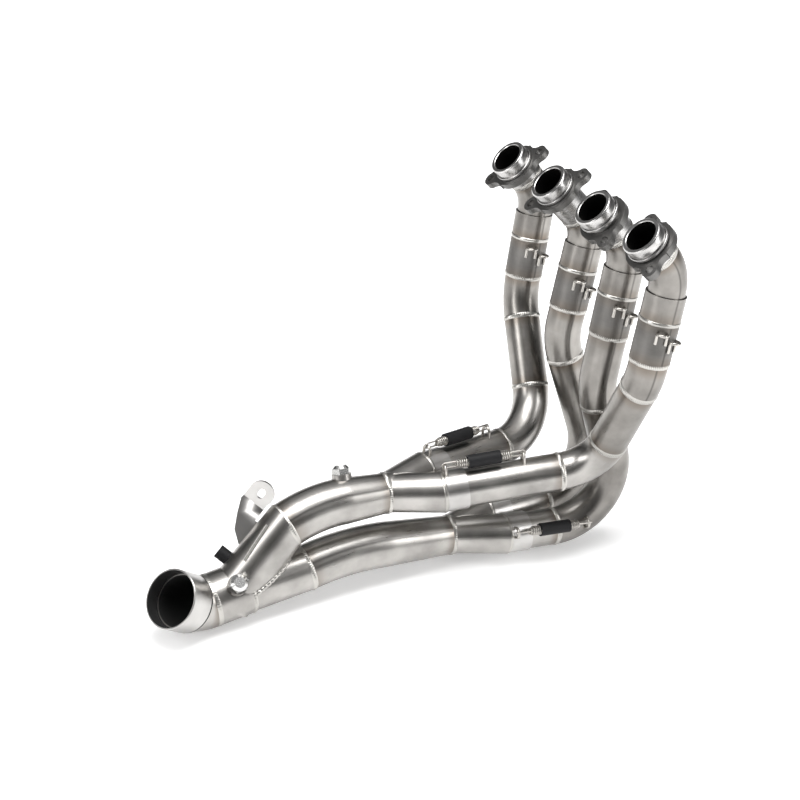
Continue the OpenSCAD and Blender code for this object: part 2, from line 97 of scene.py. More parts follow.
# Wall, slip gap and height of a plain weld ring, then radii and lengths of the tubes, sockets and junctions
WALL, SLIP_GAP, BEAD_H = 1.2, 0.2, 0.7
ELBOW_R, PRIMARY_R, SLEEVE_R, SOCKET_R, MERGE_R = 18.5, 19.5, 20.25, 21.0, 20.75
SLEEVE_LEN, HOOK_TUBE_LEN, TAIL_LEN = 27, 43, 24
SOCKET_LEN, SLIP_DEPTH, MERGE_LEN, MERGE_WALL = 26, 23, 52, 1.3
LEG_OFF = SOCKET_R + BEAD_H + SLIP_GAP
# Secondary tubes, collector, neck and exit sleeve
SECOND_IN_R, SECOND_OUT_R, SECOND_A_BEND = 20.5, 23.5, 150.0
CORNER_A, CORNER_B = Vector((15, -288, 101)), Vector((15, -256, 42))
MERGE_POINT = Vector((20, -376, 29))
DIR_A1, DIR_B1 = Vector((3, -32, -13)).normalized(), Vector((3, -44, -8)).normalized()
RUN_B1 = 44.0
NECK_R, NECK_BEND, NECK_FLAT, NECK_LEAD = 27.0, 33.0, 25.0, 12.0
NECK_DIR = Vector((2, -43, -5)).normalized()
EXIT_R, EXIT_LEN, EXIT_WALL, EXIT_STEP = 29.5, 27.0, 1.5, 12.0
RISE, YAW = math.radians(37), math.radians(27)
EXIT_DIR = Vector((math.sin(YAW) * math.cos(RISE), -math.cos(YAW) * math.cos(RISE), math.sin(RISE)))


def corners(i):
    """Corners of the centreline of primary i, its last direction and both ends of its socket."""
    port, lower = Vector((PORT_X[i], 0, PORT_H)), Vector(LOWER[i])
    start = JUNCTION_OUT[i] + Vector((LEG_SIDE[i] * LEG_OFF, MERGE_LEN, 0))
    d = (start - lower).normalized()
    mouth = start - d * SOCKET_LEN
    points = [port, port + PORT_DIR * ELBOW_RUN[i], port + Vector(UPPER[i]), lower, mouth + d * SLIP_DEPTH]
    return points, d, mouth, start


print("primaries", [round((corners(i)[0][4] - corners(i)[0][0]).length) for i in range(4)], "mm from end to end")

# %% [markdown]
# ## Materials
# Brushed titanium is a metal whose roughness and tone change along stretched noise. Two painted values on each
# vertex steer it: `weld_heat` is the tint beside a weld and `seam` is the dark line of the long weld.

# %%
# Brown of the metal beside a weld, its least share on a blotch, and the share of the dark tone in a seam line
HEAT_TINT, TINT_LEAST, SEAM_DIM = (0.15, 0.12, 0.092), 0.35, 0.45
# Grain scales: along a tube, finer along a tube, around a sanded piece, around a machined piece
ALONG, ALONG_FINE, AROUND, AROUND_FINE = (30, 400, 30), (30, 300, 30), (900, 6, 30), (700, 8, 30)
# Detail of the grain, its bump and its depth in metres, and the least and most of the roughness
GRAIN_DETAIL, BUMP, BUMP_DEPTH, ROUGH_LEAST, ROUGH_MOST = 3.0, 0.06, 0.0004, 0.7, 1.35
# Blotches: scale, detail, and the noise values between which the tone and the tint change
BLOTCH_SCALE, BLOTCH_DETAIL, TONE_FROM, TONE_TO, TINT_TO = 26.0, 5.0, 0.3, 0.7, 0.62


def new_material(name, base, rough, metallic=1.0):
    """A plain material, with its node tree and its shader node."""
    m = bpy.data.materials.new(name)
    m.use_nodes = True
    p = m.node_tree.nodes["Principled BSDF"]
    p.inputs["Base Color"].default_value = (*base, 1)
    p.inputs["Roughness"].default_value = rough
    p.inputs["Metallic"].default_value = metallic
    return m, m.node_tree, p


def add(tree, kind, **values):
    """A new node with its settings."""
    n = tree.nodes.new(kind)
    for k, v in values.items():
        setattr(n, k, v)
    return n


def ramp(tree, fac, stops):
    """A colour ramp through (position, colour) stops."""
    n = tree.nodes.new("ShaderNodeValToRGB")
    while len(n.color_ramp.elements) < len(stops):
        n.color_ramp.elements.new(0.5)
    for e, (at, c) in zip(n.color_ramp.elements, stops):
        e.position, e.color = at, (*c, 1)
    tree.links.new(fac, n.inputs[0])
    return n.outputs[0]


def noise(tree, vector, scale, detail):
    """A noise texture over a vector."""
    n = add(tree, "ShaderNodeTexNoise")
    n.inputs["Scale"].default_value = scale
    n.inputs["Detail"].default_value = detail
    tree.links.new(vector, n.inputs["Vector"])
    return n.outputs["Fac"]


def spread(tree, value, source, target):
    """A value mapped from the range source to the range target."""
    n = add(tree, "ShaderNodeMapRange")
    tree.links.new(value, n.inputs["Value"])
    n.inputs["From Min"].default_value, n.inputs["From Max"].default_value = source
    n.inputs["To Min"].default_value, n.inputs["To Max"].default_value = target
    return n.outputs[0]


def mixed(tree, factor, colour, other):
    """A colour turned towards a fixed other one by the factor."""
    n = add(tree, "ShaderNodeMix", data_type="RGBA")
    tree.links.new(factor, n.inputs["Factor"])
    tree.links.new(colour, n.inputs["A"])
    n.inputs["B"].default_value = (*other, 1)
    return n.outputs["Result"]


def brushed(name, base, dark, rough, scale=ALONG, seam=True, tint=0.65):
    """Metal brushed along the tube's UV, with a seam line, blotches and a heat tint."""
    m, t, p = new_material(name, base, rough)
    uv = add(t, "ShaderNodeUVMap", uv_map="tube")
    stretch = add(t, "ShaderNodeMapping")
    stretch.inputs["Scale"].default_value = scale
    t.links.new(uv.outputs[0], stretch.inputs[0])
    grain = noise(t, stretch.outputs[0], 1.0, GRAIN_DETAIL)
    where = add(t, "ShaderNodeTexCoord")
    blotch = noise(t, where.outputs["Object"], BLOTCH_SCALE, BLOTCH_DETAIL)
    heat = add(t, "ShaderNodeAttribute", attribute_name="weld_heat")
    weight = add(t, "ShaderNodeMath", operation="MULTIPLY")
    t.links.new(heat.outputs["Fac"], weight.inputs[0])
    uneven = spread(t, blotch, (TONE_FROM, TINT_TO), (TINT_LEAST * tint, tint))
    t.links.new(uneven, weight.inputs[1])
    tone = ramp(t, blotch, [(TONE_FROM, dark), (TONE_TO, base)])
    colour = mixed(t, weight.outputs[0], tone, HEAT_TINT)
    if seam:
        weld_line = add(t, "ShaderNodeAttribute", attribute_name="seam")
        colour = mixed(t, weld_line.outputs["Fac"], colour, [c * SEAM_DIM for c in dark])
    t.links.new(colour, p.inputs["Base Color"])
    shine = spread(t, grain, (0, 1), (rough * ROUGH_LEAST, rough * ROUGH_MOST))
    t.links.new(shine, p.inputs["Roughness"])
    bump = add(t, "ShaderNodeBump")
    bump.inputs["Strength"].default_value = BUMP
    bump.inputs["Distance"].default_value = BUMP_DEPTH
    t.links.new(grain, bump.inputs["Height"])
    t.links.new(bump.outputs[0], p.inputs["Normal"])
    return m


TUBE = brushed("titanium tube", (0.46, 0.445, 0.425), (0.27, 0.26, 0.247), 0.30)
HEAD = brushed("worn titanium", (0.34, 0.325, 0.305), (0.17, 0.161, 0.150), 0.31, tint=0.8)
BANDED = brushed("sanded titanium", (0.20, 0.193, 0.185), (0.12, 0.116, 0.11), 0.45, AROUND, tint=0.5)
BRIGHT = brushed("machined titanium", (0.56, 0.55, 0.54), (0.38, 0.375, 0.37), 0.28, AROUND_FINE, False, 0.1)
SLEEVE = brushed("bright sleeve", (0.56, 0.55, 0.535), (0.42, 0.41, 0.40), 0.32, ALONG_FINE, False, 0.0)
WELD = brushed("weld bead", (0.55, 0.535, 0.505), (0.36, 0.35, 0.33), 0.3, AROUND, False, 0.1)
# Painted shade: near-black for the inside walls of tubes and bores and for the gap behind the exit sleeve, where
# only shade falls.
SHADE_BLACK, _, _ = new_material("painted shade black", (0.012, 0.012, 0.012), 0.7, 0.0)
FLANGE, _, _ = new_material("dark flange", (0.16, 0.157, 0.152), 0.4, 0.9)
WIRE, _, _ = new_material("wire", (0.48, 0.46, 0.43), 0.3)
# Painted shade: the spigot bores are a very dark metal that stands in for the shade inside them.
PAINTED_SHADE_BORE, _, _ = new_material("painted shade bore", (0.075, 0.073, 0.07), 0.38)
RUBBER, _, rubber_shader = new_material("rubber", (0.012, 0.012, 0.013), 0.55, 0.0)
rubber_shader.inputs["Specular IOR Level"].default_value = 0.2
PLUG, _, _ = new_material("plug", (0.62, 0.62, 0.61), 0.25)
print("materials", len(bpy.data.materials))

# %% [markdown]
# ## Paths
# A path is a list of points. Straights have a point every 4 mm, so that the heat tint has places to fade at,
# and bends have one every 3 degrees, so that the skins stay smooth.

# %%
SAME_POINT = 1e-3


def unit_turn(u, v):
    """Angle between two unit vectors."""
    return math.acos(max(-1.0, min(1.0, u.dot(v))))


def arc(start, u, v, radius, step=3.0):
    """Points of a bend that begins at start along u and ends along v."""
    angle = unit_turn(u, v)
    side = (v - u * u.dot(v)).normalized()
    n = max(2, round(math.degrees(angle) / step))
    return [start + u * radius * math.sin(angle * k / n) + side * radius * (1 - math.cos(angle * k / n))
            for k in range(n + 1)]


def line(a, b, step=4.0):
    """Points of a straight."""
    n = max(1, round((b - a).length / step))
    return [a.lerp(b, k / n) for k in range(n + 1)]


def join(*runs):
    """One path of several, without doubled points."""
    out = []
    for run in runs:
        for p in run:
            if not out or (p - out[-1]).length > SAME_POINT:
                out.append(p)
    return out


def distances(points):
    """Distance along the path at each of its points."""
    out = [0.0]
    for a, b in zip(points, points[1:]):
        out.append(out[-1] + (b - a).length)
    return out


def primary_path(i):
    """Stretches of primary i from its port to its junction, and the places that the welds and hooks need."""
    p, _, mouth, start = corners(i)
    d = [(p[k + 1] - p[k]).normalized() for k in range(4)]
    t = [BENDS[i][k] * math.tan(unit_turn(d[k], d[k + 1]) / 2) for k in range(3)]
    b = [(p[k + 1] - d[k] * t[k], p[k + 1] + d[k + 1] * t[k]) for k in range(3)]
    foot = b[0][1] + d[1] * SLEEVE_LEN
    hook = foot + d[1] * HOOK_TUBE_LEN
    return {"elbow": join(arc(b[0][0], d[0], d[1], BENDS[i][0]), line(b[0][1], b[0][1] + d[1] * TAIL_LEN)),
            "sleeve": line(b[0][1], foot), "hook": line(foot, hook),
            "upper": join(line(hook, b[1][0]), arc(b[1][0], d[1], d[2], BENDS[i][1])),
            "mid": line(b[1][1], b[2][0]), "lower": arc(b[2][0], d[2], d[3], BENDS[i][2]),
            "slip": line(b[2][1], p[4]), "socket": line(mouth, start),
            "neck_end": b[0][0], "dirs": d, "bends": b, "hook_end": hook, "start": start}


PATHS = [primary_path(i) for i in range(4)]
print("paths", sum(len(v) for q in PATHS for v in q.values() if isinstance(v, list)), "points")

# %% [markdown]
# ## Skins
# Each tube is a circle of vertices moved along its path with a frame that doesn't twist, then given its wall.
# The UV map holds the distance along and around the tube, which the brushing follows. Turned pieces are a closed
# outline taken around their axis.

# %%
SEGMENTS, SMOOTH_ANGLE, MERGE_DIST = 72, math.radians(35), 1e-7
# Direction that the seams and rings are turned towards
HINT = Vector((0.35, -0.2, 1))
# The heat tint is full beside a weld, fades over HEAT_FADE and is gone at HEAT_END.
HEAT_END, HEAT_FADE = 13.0, 8.0
# Strength of the seam line, and the width of one full turn on the UV map in metres
SEAM_TONE, UV_TURN = 0.8, 0.12


def frames(points):
    """Each point with its two cross directions, carried along without twist."""
    out, hint = [], HINT
    for k, p in enumerate(points):
        a = points[max(0, k - 1)]
        b = points[min(len(points) - 1, k + 1)]
        z = (b - a).normalized()
        x = (hint - z * hint.dot(z)).normalized()
        out.append((p, x, z.cross(x)))
        hint = x
    return out


def cross_axes(axis):
    """Two cross directions of an axis, and the axis as a unit vector."""
    z = axis.normalized()
    x = (HINT - z * HINT.dot(z)).normalized()
    return x, z.cross(x), z


def heat_at(s, heat):
    """Heat tint at distance s along a tube that has welds at the distances in heat."""
    return max((min(1.0, max(0.0, (HEAT_END - abs(s - h)) / HEAT_FADE)) for h in heat), default=0.0)


def make_object(name, bm, materials):
    """A smooth object of the mesh, with sharp edges kept."""
    bmesh.ops.remove_doubles(bm, verts=bm.verts, dist=MERGE_DIST)
    bmesh.ops.recalc_face_normals(bm, faces=bm.faces)
    name = name.replace(" ", "_")
    mesh = bpy.data.meshes.new(name)
    for m in materials:
        mesh.materials.append(m)
    bm.to_mesh(mesh)
    bm.free()
    for poly in mesh.polygons:
        poly.use_smooth = True
    mesh.set_sharp_from_angle(angle=SMOOTH_ANGLE)
    o = bpy.data.objects.new(name, mesh)
    scene.collection.objects.link(o)
    return o


def sweep(name, points, radii, wall, material, heat=(), seam_at=None, segs=SEGMENTS):
    """A tube along points. radii is one radius or one for each point, heat lists distances with a heat tint,
    and seam_at is the point of the circle that has the long seam. A wall of 0 makes a solid wire."""
    if not isinstance(radii, (list, tuple)):
        radii = [radii] * len(points)
    bm = bmesh.new()
    uv = bm.loops.layers.uv.new("tube")
    heat_layer = bm.verts.layers.float.new("weld_heat")
    seam_layer = bm.verts.layers.float.new("seam")
    skins, dist = [], distances(points)
    for inset in ((0, wall) if wall else (0,)):
        skin = []
        for (p, x, y), r, s in zip(frames(points), radii, dist):
            ring = []
            for j in range(segs):
                a = 2 * math.pi * j / segs
                v = bm.verts.new((p + (x * math.cos(a) + y * math.sin(a)) * (r - inset) + SHIFT) / 1000)
                v[heat_layer] = heat_at(s, heat)
                v[seam_layer] = SEAM_TONE if j == seam_at and not inset else 0.0
                ring.append(v)
            skin.append(ring)
        skins.append(skin)
    for n, skin in enumerate(skins):
        for k in range(len(skin) - 1):
            for j in range(segs):
                j2 = (j + 1) % segs
                f = bm.faces.new([skin[k][j], skin[k][j2], skin[k + 1][j2], skin[k + 1][j]])
                f.material_index = n
                for loop, (kk, jj) in zip(f.loops, ((k, j), (k, j + 1), (k + 1, j + 1), (k + 1, j))):
                    loop[uv].uv = (dist[kk] / 1000, jj / segs * UV_TURN)
    for k in (0, -1):
        if not wall:
            bm.faces.new(skins[0][k])
            continue
        for j in range(segs):
            j2 = (j + 1) % segs
            bm.faces.new([skins[0][k][j], skins[0][k][j2], skins[1][k][j2], skins[1][k][j]])
    # The inner wall gets the near-black painted shade.
    return make_object(name, bm, [material, SHADE_BLACK])


def lathe(name, profile, origin, axis, material, segs=SEGMENTS, inside_bands=0, inside=SHADE_BLACK):
    """A turned piece from a closed outline of (radius, height) pairs. Its last bands get the inside material, by
    default the near-black painted shade.
    """
    bm = bmesh.new()
    uv = bm.loops.layers.uv.new("tube")
    x, y, z = cross_axes(axis)
    rings = []
    for r, h in profile:
        ring = []
        for j in range(segs):
            a = 2 * math.pi * j / segs
            ring.append(bm.verts.new((origin + z * h + (x * math.cos(a) + y * math.sin(a)) * r + SHIFT) / 1000))
        rings.append(ring)
    n = len(profile)
    for k in range(n):
        k2 = (k + 1) % n
        for j in range(segs):
            j2 = (j + 1) % segs
            f = bm.faces.new([rings[k][j], rings[k][j2], rings[k2][j2], rings[k2][j]])
            f.material_index = 1 if k >= n - inside_bands else 0
            for loop, (kk, jj) in zip(f.loops, ((k, j), (k, j + 1), (k2, j + 1), (k2, j))):
                loop[uv].uv = (profile[kk][1] / 1000, jj / segs * UV_TURN)
    return make_object(name, bm, [material, inside])


def wear(o, slot, *nodes):
    """Puts a finished piece on the body and in place of its CAD nodes."""
    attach(o, "root")
    if nodes:
        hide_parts(*nodes)


def tube(name, node, points, radius, wall, material, heat=(), seam_at=None):
    """Sweeps a tube that stands for one CAD node."""
    wear(sweep(name, points, radius, wall, material, heat, seam_at), "tube", node)


print("skins are made with", SEGMENTS, "points around")

# %% [markdown]
# ## Primary tubes
# Elbow, sleeve, hook tube, bends, slip tube and socket of each cylinder. The outer two have a middle tube of
# their own, and on the inner two it is one piece with the lower bend.

# %%
# Points of the circle, of 72, that carry the long seams
ELBOW_SEAM, SLEEVE_SEAM, BEND_SEAM, MID_SEAM, SECOND_SEAM = 10, 62, 64, 20, 66
# Distance along the elbow of its second heat tint
ELBOW_TINT = 60
OUTER = (0, 3)

for i, q in enumerate(PATHS):
    n = i + 1
    tube(f"elbow {n}", f"head_elbow_{n}", q["elbow"], ELBOW_R, WALL, HEAD, (0, ELBOW_TINT), ELBOW_SEAM)
    tube(f"sleeve {n}", f"slip_sleeve_{n}", q["sleeve"], SLEEVE_R, SLEEVE_R - ELBOW_R - SLIP_GAP, HEAD,
         (SLEEVE_LEN,), SLEEVE_SEAM)
    tube(f"hook tube {n}", f"hook_tube_{n}", q["hook"], SLEEVE_R, WALL, BANDED, (0, HOOK_TUBE_LEN), SLEEVE_SEAM)
    tube(f"upper bend {n}", f"upper_bend_{n}", q["upper"], PRIMARY_R, WALL, HEAD, (0,), BEND_SEAM)
    if i in OUTER:
        mid_len = (q["mid"][-1] - q["mid"][0]).length
        tube(f"mid tube {n}", f"mid_tube_{n}", q["mid"], PRIMARY_R, WALL, HEAD, (0, mid_len), MID_SEAM)
        tube(f"lower bend {n}", f"lower_bend_{n}", q["lower"], PRIMARY_R, WALL, TUBE, (0,))
    else:
        tube(f"lower bend {n}", f"lower_bend_{n}", join(q["mid"], q["lower"]), PRIMARY_R, WALL, HEAD, (0,),
             BEND_SEAM)
    tube(f"slip tube {n}", f"slip_tube_{n}", q["slip"], PRIMARY_R, WALL, TUBE, (0,))
    tube(f"socket {n}", f"slip_socket_{n}", q["socket"], SOCKET_R, SOCKET_R - PRIMARY_R - SLIP_GAP, SLEEVE)
print("primary tubes made")

# %% [markdown]
# ## Spigots and flanges
# The spigots are turned, so they are lathed. The flanges keep their CAD shape, with the edges softened.

# %%
# Spigot: radii of the barrel and bore, lengths of barrel and groove, groove depth, collar radius and thickness
BARREL_R, BORE_R, BARREL, GROOVE, GROOVE_D, COLLAR_R, COLLAR_T = 20.5, 16.0, 9.0, 2.0, 1.3, 21.5, 3.0
# Edges: round the bore's mouth, the lip, the end of the barrel and the collar
MOUTH_EDGE, LIP, BARREL_EDGE, COLLAR_EDGE = 0.6, 1.2, 0.3, 0.4
# Width of the flanges' soft edge in metres, and the least angle of an edge that gets it
FLANGE_EDGE, FLANGE_ANGLE = 0.0008, math.radians(40)
# The last three bands of a turned outline are its bore.
BORE_BANDS = 3


def spigot_outline(length):
    """Outline of a spigot: mouth, lip, barrel, groove and collar, then back through its neck and bore."""
    groove_r, at = BARREL_R - GROOVE_D, BARREL + GROOVE
    top = at + COLLAR_T
    return [(BORE_R, MOUTH_EDGE), (BORE_R + MOUTH_EDGE, 0), (BARREL_R - LIP, 0),
            (BARREL_R - 0.2 * LIP, 0.7 * LIP), (BARREL_R, 1.3 * LIP),
            (BARREL_R, BARREL - BARREL_EDGE), (BARREL_R - BARREL_EDGE, BARREL), (groove_r, BARREL),
            (groove_r, at), (COLLAR_R - COLLAR_EDGE, at), (COLLAR_R, at + COLLAR_EDGE),
            (COLLAR_R, top - COLLAR_EDGE), (COLLAR_R - COLLAR_EDGE, top), (ELBOW_R, top),
            (ELBOW_R, length), (ELBOW_R - WALL, length), (ELBOW_R - WALL, top), (BORE_R, at)]


# Each spigot's bore gets the painted shade bore material.
for i, q in enumerate(PATHS):
    port = corners(i)[0][0]
    outline = spigot_outline((q["neck_end"] - port).length)
    wear(lathe(f"spigot {i + 1}", outline, port, PORT_DIR, BRIGHT, inside_bands=BORE_BANDS, inside=PAINTED_SHADE_BORE),
         "machined", f"port_spigot_{i + 1}")
for n in range(1, 5):
    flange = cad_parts[f"port_flange_{n}"]
    flange.data.materials.clear()
    flange.data.materials.append(FLANGE)
    soft = flange.modifiers.new("soft edge", "BEVEL")
    soft.width, soft.segments, soft.limit_method, soft.angle_limit = FLANGE_EDGE, 2, "ANGLE", FLANGE_ANGLE
print("spigots and flanges made")

# %% [markdown]
# ## Junctions, secondaries and collector
# The merged pieces keep the exact CAD shape, shaded smooth, and the tubes between them are swept. A thin near-black
# ring behind the exit sleeve is painted shade: it makes the dark shadow of its gap.

# %%
DIR_A0, DIR_B0 = (CORNER_A - OUT_14).normalized(), (CORNER_B - OUT_23).normalized()
B_BEND = RUN_B1 / math.tan(unit_turn(DIR_B0, DIR_B1) / 2)
neck_run = NECK_BEND * math.tan(unit_turn(NECK_DIR, EXIT_DIR) / 2)
NECK_START = MERGE_POINT + NECK_DIR * NECK_FLAT
EXIT_START = NECK_START + NECK_DIR * neck_run + EXIT_DIR * neck_run
# Exit sleeve: points around, roundness of its edges, then radii and heights of the gap ring, a painted shade ring
EXIT_SEGMENTS, EXIT_EDGE = 96, 0.5
GAP_IN, GAP_OUT, GAP_LOW, GAP_HIGH = NECK_R - 0.3, EXIT_R - 0.4, -2.0, 0.1


def secondary(name, start, corner, d0, d1, radius):
    """A secondary tube: a cone from its junction to a bend that leads to the collector."""
    begin = corner - d0 * (radius * math.tan(unit_turn(d0, d1) / 2))
    path = join(line(start, begin), arc(begin, d0, d1, radius))
    grow = [SECOND_IN_R + (SECOND_OUT_R - SECOND_IN_R) * min(1.0, (p - start).length / (begin - start).length)
            for p in path]
    return sweep(name, path, grow, WALL, TUBE, (0, distances(path)[-1]), SECOND_SEAM)


def rounded(r1, h1, r2, h2, steps=4):
    """Points of a small quarter round from (r1, h1) to (r2, h2)."""
    turn = [k / steps * math.pi / 2 for k in range(steps + 1)]
    return [(r1 + (r2 - r1) * math.sin(a), h1 + (h2 - h1) * (1 - math.cos(a))) for a in turn]


def dress(node, material):
    """Gives a CAD node its material and smooth shading."""
    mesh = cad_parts[node].data
    mesh.materials.clear()
    mesh.materials.append(material)
    for poly in mesh.polygons:
        poly.use_smooth = True
    mesh.set_sharp_from_angle(angle=SMOOTH_ANGLE)


wear(secondary("secondary 14", OUT_14, CORNER_A, DIR_A0, DIR_A1, SECOND_A_BEND), "tube", "secondary_tube_14")
wear(secondary("secondary 23", OUT_23, CORNER_B, DIR_B0, DIR_B1, B_BEND), "tube", "secondary_tube_23")
neck_path = join(arc(NECK_START, NECK_DIR, EXIT_DIR, NECK_BEND), line(EXIT_START, EXIT_START + EXIT_DIR * EXIT_STEP))
tube("collector neck", "collector_neck", neck_path, NECK_R, MERGE_WALL, TUBE, (0,))
sleeve_outline = ([(NECK_R, 0), (EXIT_R - EXIT_EDGE, 0)] + rounded(EXIT_R - EXIT_EDGE, 0, EXIT_R, EXIT_EDGE)
                  + [(EXIT_R, EXIT_LEN - EXIT_EDGE), (EXIT_R - EXIT_EDGE, EXIT_LEN), (EXIT_R - EXIT_WALL, EXIT_LEN),
                     (EXIT_R - EXIT_WALL, EXIT_STEP), (NECK_R, EXIT_STEP)])
# The exit sleeve's bore gets the near-black painted shade.
wear(lathe("exit sleeve", sleeve_outline, EXIT_START, EXIT_DIR, SLEEVE, EXIT_SEGMENTS, BORE_BANDS),
     "polished", "exit_sleeve")
# Painted shade: a thin near-black ring at the foot of the exit sleeve stands for the shadow in its gap.
wear(lathe("gap ring", [(GAP_IN, GAP_LOW), (GAP_OUT, GAP_LOW), (GAP_OUT, GAP_HIGH), (GAP_IN, GAP_HIGH)],
           EXIT_START, EXIT_DIR, SHADE_BLACK), "tube")

for material, nodes in ((TUBE, ("junction_14", "junction_23", "collector", "sensor_boss", "side_boss")),
                        (SLEEVE, ("hanger_bracket",)), (PLUG, ("sensor_plug", "side_plug")),
                        (RUBBER, ("gas_tap_plug", "spring_covers")), (WIRE, ("primary_hooks", "junction_hooks")),
                        (WELD, ("weld_beads",))):
    for node in nodes:
        dress(node, material)
print("collector made")

# %% [markdown]
# ## Springs and hook legs
# The cover hides the middle of each spring, so each has two coil ends and two eyes. One coil end stands for the
# CAD spring. The legs of the hooks on the hook tubes lie along the tube and are welded to it.

# %%
# Spring: coil radius, wire, coil length and pitch, length of the cover
COIL_R, SPRING_WIRE, COIL_LEN, COIL_PITCH, COVER_LEN = 4.15, 1.7, 58.0, 2.3, 34.0
# Eye radius, length of the coil's taper, places of the rear and front hooks, height over the socket
EYE_R, TAPER, HOOK_BACK, HOOK_AHEAD, SPRING_LIFT = 2.6, 4.0, 20.0, 62.0, 8.5
# Side of its tube that each spring lies on
SPRING_SIDE = [(0, 0, 1), (-0.88, 0, 0.48), (0.88, 0, 0.48), (0, 0, 1)]
# Length under the cover and under the eye, points of a coil's turn and of an eye, and points around the wire
TUCK, COIL_POINTS, EYE_POINTS, SPRING_SEGMENTS = 1, 20, 12, 12
# Hook: wire, half the width of its loop, leg length, bend radius, place on the tube, half the gap of a pair
HOOK_WIRE, HOOK_R, HOOK_LEG, HOOK_BEND, HOOK_AT, HOOK_APART = 3.0, 5.0, 11.0, 3.0, 12.0, 4.0
# Direction the hooks face, how far a pair splays, the height of the wire's middle in wires, and points of the bend
HOOK_FACING, HOOK_SPLAY, HOOK_SEAT, HOOK_POINTS, WIRE_SEGMENTS = 0.9, 0.35, 0.4, 6, 14


def spring_axes(i):
    """Middle of spring i, its three axes and the distance between its eyes."""
    _, slip, mouth, start = corners(i)
    side = Vector(SPRING_SIDE[i])
    up = (side - slip * side.dot(slip)).normalized()
    rear = start - slip * (SOCKET_LEN - HOOK_BACK) + up * (SOCKET_R + SPRING_LIFT)
    front = mouth - slip * HOOK_AHEAD + up * (SOCKET_R + SPRING_LIFT)
    z = (front - rear).normalized()
    x = (up - z * up.dot(z)).normalized()
    return (rear + front) / 2, x, z.cross(x), z, (front - rear).length


def coil_end(i, sign):
    """One visible end of the coil, from under the cover out to the eye."""
    middle, x, y, z, _ = spring_axes(i)
    begin, length = COVER_LEN / 2 - TUCK, COIL_LEN / 2 - COVER_LEN / 2 + TUCK
    steps = int(length / COIL_PITCH * COIL_POINTS)
    path = []
    for k in range(steps + 1):
        h = length * k / steps
        r = COIL_R - (COIL_R - EYE_R) * max(0.0, 1 - (length - h) / TAPER)
        a = 2 * math.pi * h / COIL_PITCH
        path.append(middle + z * sign * (begin + h) + (x * math.cos(a) + y * math.sin(a)) * r)
    return path


def eye_end(i, sign):
    """The eye: out along one side, round the hook and back along the other."""
    middle, x, _, z, apart = spring_axes(i)
    turn = [k / EYE_POINTS * math.pi for k in range(EYE_POINTS + 1)]
    root, tip = COIL_LEN / 2 - TUCK, apart / 2
    path = [middle + z * sign * root + x * EYE_R]
    path += [middle + z * sign * (tip + EYE_R * math.sin(a)) + x * EYE_R * math.cos(a) for a in turn]
    return path + [middle + z * sign * root - x * EYE_R]


def hook_leg(i, s, side):
    """One leg of hook s (-1 or 1) of tube i: it leaves the loop, bends flat and runs down the tube."""
    axis = PATHS[i]["dirs"][1]
    out = Vector((HOOK_FACING, HOOK_SPLAY * s, 0))
    out = (out - axis * out.dot(axis)).normalized()
    foot = (PATHS[i]["hook"][0] + axis * (HOOK_AT + HOOK_APART * s) + axis.cross(out) * side * HOOK_R
            + out * (math.sqrt(SLEEVE_R ** 2 - HOOK_R ** 2) + HOOK_SEAT * HOOK_WIRE))
    turn = [k / HOOK_POINTS * math.pi / 2 for k in range(HOOK_POINTS + 1)]
    points = [foot + out * HOOK_BEND * (1 - math.sin(a)) + axis * HOOK_BEND * (1 - math.cos(a)) for a in turn]
    points.append(foot + axis * HOOK_LEG)
    return sweep(f"hook leg {i + 1} {s} {side}", points, HOOK_WIRE / 2, 0, WIRE, segs=WIRE_SEGMENTS)


for i in range(4):
    for sign in (-1, 1):
        for kind, path in (("coil", coil_end(i, sign)), ("eye", eye_end(i, sign))):
            nodes = [f"spring_{i + 1}"] if (kind, sign) == ("coil", 1) else []
            wear(sweep(f"spring {i + 1} {kind} {sign}", path, SPRING_WIRE / 2, 0, WIRE, segs=SPRING_SEGMENTS),
                 "wire", *nodes)
for i in range(4):
    for s in (-1, 1):
        for side in (-1, 1):
            wear(hook_leg(i, s, side), "wire")
print("springs and hook legs made")

# %% [markdown]
# ## Weld beads
# A bead is a ring of small overlapping ripples, as a welding torch leaves them. A seam is a ripple wire that
# follows the line where two cones meet, or the long weld of the collector's upper leg.

# %%
# Bead: width, height, heights on the neck and on the merge, and how far it is set into a wider piece
BEAD_WIDTH, BEAD_RISE, NECK_RISE, MERGE_RISE, BEAD_INSET = 5.4, 0.75, 0.45, 0.9, 0.4
# Ripples around, points of a ripple, points across, and the width on the UV map in metres
RIPPLES, RIPPLE_POINTS, ACROSS, BEAD_UV = 64, 4, 8, 0.005
# Ripple: the steady and the swelling part of its height, its lag towards the rim, its lean, its depth in the tube
STEADY, SWELL, LAG, LEAN, BEAD_DEPTH = 0.72, 0.28, 1.4, 0.5 * 0.4, 0.05
# Seams: step along them, swell of a drop and its length in points, and rounds of halving
SEAM_STEP, DROP_SWELL, DROP_POINTS, HALVINGS = 1.2, 0.14, 3.3, 24
# Size of each seam, and the length it leaves bare at the end that the two cones share
COLLECTOR_SEAM, COLLECTOR_LEAD, JUNCTION_SEAM, JUNCTION_LEAD = 2.4, 14, 1.0, 8
# Long weld: the way it faces, its turn at ring and boss, its bare ends there, its size and its lift in sizes
LEG_FACING, LEG_TURN_FOOT, LEG_TURN_TIP = Vector((0.81, -0.38, 0.446)), math.radians(38), math.radians(16)
LEG_BARE_FOOT, LEG_BARE_TIP, LEG_SEAM, LEG_LIFT = 8, 34, 2.0, 0.3


